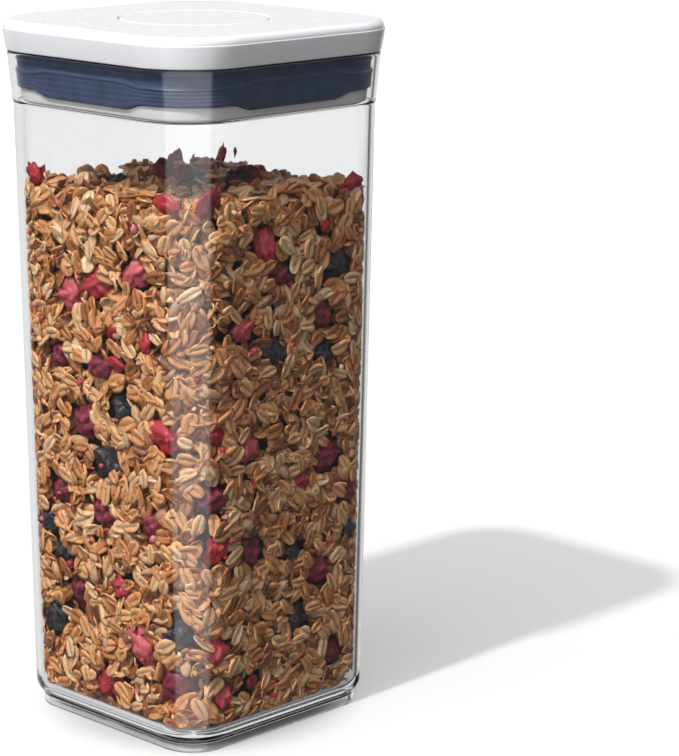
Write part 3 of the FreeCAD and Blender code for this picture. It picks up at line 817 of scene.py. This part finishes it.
def fill_granola():
    """The jar's contents in piles: oats, kernels, crumbs, and a pile for each kind of fruit."""
    rng = random.Random(SEED)
    noise.seed_set(SEED)
    oats = [oat_shape(rng) for _ in range(60)]
    kernels = [blob_shape(rng, (rng.uniform(3.4, 4.8), rng.uniform(2.4, 3.2),
                                rng.uniform(6.0, 8.8)), 0.25, 10, 7, None, 0.35)
               for _ in range(12)]
    crumbs = [blob_shape(rng, (rng.uniform(1.5, 3.4), rng.uniform(1.5, 3.0),
                               rng.uniform(1.2, 2.4)), 0.6, 6, 4) for _ in range(10)]
    piles = [Pile(f"granola_oats_{number}") for number in range(6)]
    seeds = Pile("granola_kernels")
    bits = Pile("granola_crumbs")
    fruit = {kind: Pile(f"granola_{kind}") for kind in FRUIT}

    taken = []
    for kind, side, along, level, size in fruit_spots(rng):
        place, normal = fruit_place(side, along, level, size * 0.18)
        taken.append((place, size))
        fruit[kind].add(fruit_shape(kind, size, rng), place, turn_to(normal, rng, 0.3),
                        rng.uniform(0.2, 0.8))
    for _ in range(260):
        place, normal = wall_place(rng, rng.random(), rng.uniform(10, FILL_LEVEL - 3), 1.3)
        kind = rng.choice(("raspberry", "red_skin", "strawberry"))
        fruit[kind].add(rng.choice(crumbs), place, turn_to(normal, rng, 0.5), rng.random(),
                        rng.uniform(0.6, 1.4))
    for kind, count in (("raspberry", 3), ("strawberry", 3), ("blueberry", 3)):
        for _ in range(count):
            x, y = rng.uniform(-32, 32), rng.uniform(-32, 32)
            size = rng.uniform(8, 11)
            place = np.array([x, y, heap_level(x, y) + 0.5])
            fruit[kind].add(fruit_shape(kind, size, rng), place,
                            turn_to((0, 0, 1), rng, 0.6), rng.uniform(0.2, 0.8))

    fruit_places = np.array([place for place, _ in taken])
    fruit_reach = np.array([size * 0.42 + 1.6 for _, size in taken])

    def scatter(place, normal, tilt):
        if (np.linalg.norm(fruit_places - place, axis=1) < fruit_reach).any():
            return
        roll = rng.random()
        tint = min(1.0, max(0.0, rng.gauss(0.5, 0.24)))
        rotation = turn_to(normal, rng, tilt)
        if roll < 0.9:
            rng.choice(piles).add(rng.choice(oats), place, rotation, tint,
                                  rng.uniform(0.82, 1.08))
        elif roll < 0.95:
            flat = np.array(Matrix(rotation.tolist()) @ Matrix.Rotation(math.pi / 2, 3, "X"))
            seeds.add(rng.choice(kernels), place, flat, tint)
        else:
            bits.add(rng.choice(crumbs), place, rotation, tint)

    for depth, pitch, lean in WALL_LAYERS:
        level = FLOOR_LEVEL + 2.0
        while level < FILL_LEVEL + 6:
            steps = int(8 * HEAP_HALF / pitch)
            for step in range(steps):
                height = level + rng.uniform(-0.5, 0.5) * pitch
                place, normal = wall_place(rng, (step + rng.uniform(-0.4, 0.4)) / steps % 1.0,
                                           max(FLOOR_LEVEL + 1, height), depth)
                if height > heap_level(place[0], place[1]) - 1.0:
                    continue
                scatter(place, normal, abs(rng.gauss(0, lean)))
            level += pitch
    for depth, pitch in HEAP_LAYERS:
        steps = int(2 * HEAP_HALF / pitch)
        for row in range(steps):
            for column in range(steps):
                x = 1 - HEAP_HALF + (row + rng.random()) * pitch
                y = 1 - HEAP_HALF + (column + rng.random()) * pitch
                place = np.array([x, y, heap_level(x, y) + depth])
                if wall_excess(place[None, :])[0][0] > -1.5:
                    continue
                scatter(place, (0, 0, 1), abs(rng.gauss(0, 0.7)))
    for row in range(BED_ROWS):
        for column in range(BED_ROWS):
            x = -BED_HALF + (row + rng.random()) * BED_PITCH
            y = -BED_HALF + (column + rng.random()) * BED_PITCH
            scatter(np.array([x, y, FLOOR_LEVEL + 0.8]), (0, 0, -1), abs(rng.gauss(0, 0.25)))
    return piles, seeds, bits, fruit


def make_core():
    """Dark mass behind the outer layers of grains: painted shade standing in for the shadow deep in
    the granola.
    """
    stations = [(0.6, 0.5, FLOOR_LEVEL + 4.0), (32.0, 8.0, FLOOR_LEVEL + 4.0),
                (35.5, 9.0, FLOOR_LEVEL + 8.0), (37.6, 10.5, 100.0), (39.2, 11.5, 168.0),
                (38.0, 11.0, FILL_LEVEL - 11.0), (30.0, 9.0, FILL_LEVEL - 6.5),
                (0.6, 0.5, FILL_LEVEL - 6.0)]
    rings = []
    for (h0, c0, z0), (h1, c1, z1) in zip(stations, stations[1:]):
        steps = max(1, int((z1 - z0) / 4) if abs(z1 - z0) > 4 else 3)
        for step in range(steps):
            part = step / steps
            rings.append(ring(h0 + (h1 - h0) * part, c0 + (c1 - c0) * part,
                              z0 + (z1 - z0) * part, SIDE_FINE[::4]))
    rings.append(ring(*stations[-1], SIDE_FINE[::4]))
    lumpy = []
    for loop in rings:
        lumpy.append([(x + 1.8 * noise.noise(Vector((x, y, z)) / 5.0),
                       y + 1.8 * noise.noise(Vector((y, z, x)) / 5.0), z) for x, y, z in loop])
    core = skin("granola_core", lumpy, caps=True)
    mesh = core.data
    colours = mesh.color_attributes.new("tint", "FLOAT_COLOR", "POINT")
    # Its green and blue of 0.45 add painted shade that darkens it further.
    colours.data.foreach_set("color", [0.3, 0.45, 0.45, 1.0] * len(mesh.vertices))
    return core


# ---------------------------------------------------------------- assemble

white = moulded_plastic("white_gloss_plastic", (0.765, 0.77, 0.795), 0.975, 0.2, coat=0.25,
                        scatter=0.15)
tray_white = moulded_plastic("tray_satin_plastic", (0.84, 0.835, 0.83), 0.96, 0.34, 0.00001)
acetal = moulded_plastic("acetal", (0.8, 0.8, 0.77), 0.93, 0.42, 0.000015)
clear = clear_plastic()
navy = silicone()
steel = drawn_steel()

SHELLS = [
    (make_jar(), clear, "jar", "clear_plastic", "jar_body"),
    (make_cover(), white, "lid", "white_plastic", "lid_cover"),
    (make_button(), white, "button", "white_plastic", "push_button"),
    (make_tray(), tray_white, "tray", "tray_plastic", "lower_tray"),
]
for piece, material, body, slot, node in SHELLS:
    dress(piece, material)
    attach(piece, body)
    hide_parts(node)
STRETCHED = [
    (make_gasket(), navy, "tray", "silicone", "gasket_seal", 229.0, 218.5),
    (make_spring(), steel, "button", "steel", "button_spring", 223.4, 240.0),
]
for piece, material, body, slot, node, start, end in STRETCHED:
    dress(piece, material)
    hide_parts(node)
    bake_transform(piece)
posts = make_tray_posts()
dress(posts, tray_white)
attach(posts, "tray")

CARRIED = {"latch_follower": steel, "lever_pins": steel, "frame_screws": steel}
for node in ("cam_stem", "latch_guide", "inner_frame", *(f"rocker_lever_{side}" for side in SIDES)):
    CARRIED[node] = acetal
for node, material in CARRIED.items():
    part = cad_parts[node]
    for slot_index in range(max(1, len(part.material_slots))):
        if not part.material_slots:
            part.data.materials.append(material)
        part.material_slots[slot_index].material = material

toasted = food("toasted_oats",
               [(0.0, (0.14, 0.03, 0.005)), (0.28, (0.48, 0.15, 0.034)),
                (0.5, (0.86, 0.375, 0.13)), (1.0, (0.98, 0.65, 0.36))],
               0.32, 520.0, 1100.0, gloss=0.5, scatter=0.05)
kernel_skin = food("sunflower_kernels",
                   [(0.0, (0.4, 0.19, 0.09)), (0.5, (0.62, 0.35, 0.19)),
                    (1.0, (0.78, 0.5, 0.3))],
                   0.42, 300.0, 1000.0, gloss=0.2, scatter=0.08)
# Near-black painted shade for the core: it stands in for the shadow between grains, not for the
# colour of oats.
painted_core_shade = food("painted_shade_core", [(0.0, (0.016, 0.005, 0.0015)), (1.0, (0.07, 0.024, 0.007))],
              0.8, 500.0, 1200.0)
FRUIT_SKINS = {
    "raspberry": food("dried_raspberry", [(0.0, (0.12, 0.004, 0.018)), (0.5, (0.28, 0.01, 0.04)),
                                          (1.0, (0.48, 0.05, 0.1))], 0.5, 1400.0, 1700.0,
                      gloss=0.15),
    "strawberry": food("dried_strawberry", [(0.0, (0.3, 0.008, 0.016)), (0.5, (0.56, 0.035, 0.055)),
                                            (1.0, (0.8, 0.24, 0.27))], 0.45, 420.0, 900.0,
                       gloss=0.2, scatter=0.1),
    "red_skin": food("dried_red_skin", [(0.0, (0.16, 0.002, 0.008)), (0.5, (0.42, 0.008, 0.02)),
                                        (1.0, (0.62, 0.03, 0.05))], 0.3, 600.0, 800.0,
                     gloss=0.3),
    "blueberry": food("dried_blueberry", [(0.0, (0.002, 0.002, 0.004)),
                                          (0.6, (0.005, 0.005, 0.011)),
                                          (1.0, (0.035, 0.028, 0.05))], 0.4, 900.0, 800.0,
                      gloss=0.3),
}
oat_piles, seed_pile, crumb_pile, fruit_piles = fill_granola()
for pile in oat_piles:
    pile.build(toasted)
seed_pile.build(kernel_skin)
crumb_pile.build(toasted)
for kind, pile in fruit_piles.items():
    pile.build(FRUIT_SKINS[kind])
core = make_core()
dress(core, painted_core_shade)
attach(core, "jar")

# ---------------------------------------------------------------- studio

CAMERA_PLACE = Vector((-0.6256, -0.6821, 0.3364))
CAMERA_LOOK = Vector((0.6957, 0.6807, -0.2295)).normalized()
CAMERA_ROLL = 0.0049
LENS, SENSOR = 129.1, 36.0


def make_camera():
    """Camera at the object's three-quarter view, with a trace of roll."""
    camera = bpy.data.cameras.new("camera")
    camera.lens = LENS
    camera.sensor_width = SENSOR
    camera.clip_start, camera.clip_end = 0.05, 50.0
    eye = bpy.data.objects.new("camera", camera)
    bpy.context.collection.objects.link(eye)
    flat_right = CAMERA_LOOK.cross(Vector((0, 0, 1))).normalized()
    flat_up = flat_right.cross(CAMERA_LOOK)
    right = flat_right * math.cos(CAMERA_ROLL) + flat_up * math.sin(CAMERA_ROLL)
    up = flat_up * math.cos(CAMERA_ROLL) - flat_right * math.sin(CAMERA_ROLL)
    axes = Matrix((right, up, -CAMERA_LOOK)).transposed().to_4x4()
    eye.matrix_world = Matrix.Translation(CAMERA_PLACE) @ axes
    bpy.context.scene.camera = eye


# The key lamp is small and near; the soft light is one broad patch of sky beside it.
KEY_DISTANCE, KEY_RISE, KEY_BEARING = 3.0, 55.0, 185.5
SKY_RISE, SKY_BEARING = 40.0, 196.0
FILL_RISE, FILL_BEARING = 25.0, 22.0
CARD_HALF_ANGLE = 43.0
BACKDROP_HALF_ANGLE, BACKDROP_TURN = 45.0, 15.0
KEY_POWER = 8.5
SKY_BASE, SKY_LIGHT, FILL_LIGHT, BOUNCE = 0.03, 2.6, 1.0, 0.16
# What the clear wall mirrors: a card, a backdrop, dim sides and a ceiling.
CARD_LIGHT, BACKDROP_LIGHT, SIDE_LIGHT, CEILING_LIGHT = 1.3, 0.85, 0.09, 0.62
BACKGROUND = 0.95
FLOOR_HALF, FLOOR_DROP = 8.0, 0.0002
FLOOR_TONE = (0.5, 0.5, 0.5, 1)
GLOW_REACH, GLOW, FOOT_REACH = (0.45, 1.3), (0.29, 0.5), (0.04, 0.062)


def toward(rise, bearing):
    """Unit vector towards a height above the horizon and a bearing from +X, in degrees."""
    rise, bearing = math.radians(rise), math.radians(bearing)
    return Vector((math.cos(rise) * math.cos(bearing), math.cos(rise) * math.sin(bearing),
                   math.sin(rise)))


def make_key():
    """One disc lamp with no falloff, so the shadow stays even."""
    lamp = bpy.data.lights.new("key", "AREA")
    lamp.shape = "DISK"
    lamp.size = 0.13
    lamp.energy = 1.0
    lamp.use_nodes = True
    nodes, link = lamp.node_tree.nodes, lamp.node_tree.links.new
    falloff = nodes.new("ShaderNodeLightFalloff")
    falloff.inputs["Strength"].default_value = KEY_POWER
    link(falloff.outputs["Constant"], nodes["Emission"].inputs["Strength"])
    key = bpy.data.objects.new("key", lamp)
    bpy.context.collection.objects.link(key)
    key.location = toward(KEY_RISE, KEY_BEARING) * KEY_DISTANCE
    key.rotation_euler = toward(KEY_RISE, KEY_BEARING).to_track_quat("Z", "Y").to_euler()


def make_sky():
    """Soft sky for the surfaces, a plain room for mirrored rays, and white for the lens."""
    world = bpy.data.worlds.new("studio")
    bpy.context.scene.world = world
    world.use_nodes = True
    nodes, link = world.node_tree.nodes, world.node_tree.links.new

    math_node = partial(math_value, nodes, link)
    smooth = partial(smooth_value, nodes, link)

    def along(vector, axis):
        item = nodes.new("ShaderNodeVectorMath")
        item.operation = "DOT_PRODUCT"
        link(vector, item.inputs[0])
        item.inputs[1].default_value = axis
        return item.outputs["Value"]

    where = nodes.new("ShaderNodeTexCoord").outputs["Generated"]
    rays = nodes.new("ShaderNodeLightPath").outputs
    height = along(where, (0, 0, 1))
    level = math_node("SQRT", math_node("SUBTRACT", 1.0, math_node("MULTIPLY", height, height)))
    lobe = math_node("POWER", math_node("MAXIMUM", 0.0,
                                        along(where, toward(SKY_RISE, SKY_BEARING))), 3.0)
    fill = math_node("POWER", math_node("MAXIMUM", 0.0,
                                        along(where, toward(FILL_RISE, FILL_BEARING))), 4.0)
    soft = math_node("ADD", math_node("MULTIPLY_ADD", lobe, SKY_LIGHT, SKY_BASE),
                     math_node("MULTIPLY", fill, FILL_LIGHT))
    above = smooth(height, -0.02, 0.02)
    bounce = math_node("MULTIPLY", soft, BOUNCE)
    spread_light = math_node("ADD", math_node("MULTIPLY", soft, above),
                             math_node("MULTIPLY", bounce,
                                       math_node("SUBTRACT", 1.0, above)))
    front = Vector((-CAMERA_LOOK.x, -CAMERA_LOOK.y, 0)).normalized()
    facing = math_node("DIVIDE", along(where, front), math_node("MAXIMUM", level, 0.001))
    edge = math.cos(math.radians(CARD_HALF_ANGLE))
    card = math_node("MULTIPLY", smooth(facing, edge - 0.012, edge + 0.012),
                     CARD_LIGHT)
    turned = Matrix.Rotation(math.radians(BACKDROP_TURN), 3, "Z") @ front
    away = math_node("DIVIDE", along(where, turned), math_node("MAXIMUM", level, 0.001))
    edge = -math.cos(math.radians(BACKDROP_HALF_ANGLE))
    backdrop = smooth(away, edge - 0.08, edge + 0.08, BACKDROP_LIGHT, SIDE_LIGHT)
    below = math_node("MAXIMUM", card, backdrop)
    rise = smooth(height, -0.02, 0.12)
    mirror = math_node("ADD", math_node("MULTIPLY", below, math_node("SUBTRACT", 1.0, rise)),
                       math_node("MULTIPLY", rise, CEILING_LIGHT))
    mirrored = math_node("MULTIPLY", math_node("MINIMUM", 1.0, rays["Glossy Depth"]),
                         math_node("SUBTRACT", 1.0, rays["Is Diffuse Ray"]))
    light = nodes.new("ShaderNodeMix")
    link(mirrored, light.inputs[0])
    link(spread_light, light.inputs[2])
    link(mirror, light.inputs[3])
    seen = nodes.new("ShaderNodeMix")
    direct = math_node("MULTIPLY", math_node("SUBTRACT", 1.0, mirrored),
                       math_node("MAXIMUM", rays["Is Camera Ray"], rays["Is Transmission Ray"]))
    link(math_node("MULTIPLY", direct, smooth(height, 0.15, 0.35, 1.0, 0.0)), seen.inputs[0])
    link(light.outputs[0], seen.inputs[2])
    seen.inputs[3].default_value = BACKGROUND
    nodes["Background"].inputs["Color"].default_value = (1.0, 1.0, 1.0, 1.0)
    link(seen.outputs[0], nodes["Background"].inputs["Strength"])


def make_floor():
    """Pale floor that glows a little away from the foot and is clear to second rays."""
    mesh = bpy.data.meshes.new("studio_floor")
    corners = [(x * FLOOR_HALF, y * FLOOR_HALF, 0) for x, y in ((-1, -1), (1, -1), (1, 1), (-1, 1))]
    mesh.from_pydata(corners, [], [(0, 1, 2, 3)])
    floor = bpy.data.objects.new("studio_floor", mesh)
    bpy.context.collection.objects.link(floor)
    floor.location.z = -FLOOR_DROP
    material, nodes, link, shader = new_material("pale_floor")
    shader.inputs["Base Color"].default_value = FLOOR_TONE
    shader.inputs["Roughness"].default_value = 0.7
    shader.inputs["Specular IOR Level"].default_value = 0.2
    mesh.materials.append(material)
    rays = nodes.new("ShaderNodeLightPath").outputs
    later = math_value(nodes, link, "MAXIMUM", rays["Glossy Depth"], rays["Diffuse Depth"])
    reach = nodes.new("ShaderNodeVectorMath")
    reach.operation = "LENGTH"
    link(nodes.new("ShaderNodeTexCoord").outputs["Object"], reach.inputs[0])
    glow = smooth_value(nodes, link, reach.outputs["Value"], *GLOW_REACH, *GLOW)
    clear_of_foot = smooth_value(nodes, link, reach.outputs["Value"], *FOOT_REACH)
    link(math_value(nodes, link, "MULTIPLY", glow, clear_of_foot),
         shader.inputs["Emission Strength"])
    shader.inputs["Emission Color"].default_value = (1, 1, 1, 1)
    choose = nodes.new("ShaderNodeMixShader")
    link(later, choose.inputs["Fac"])
    link(shader.outputs["BSDF"], choose.inputs[1])
    link(nodes.new("ShaderNodeBsdfTransparent").outputs["BSDF"], choose.inputs[2])
    link(choose.outputs["Shader"], nodes["Material Output"].inputs["Surface"])


make_camera()
make_key()
make_sky()
make_floor()
bpy.context.scene.view_settings.view_transform = "Standard"
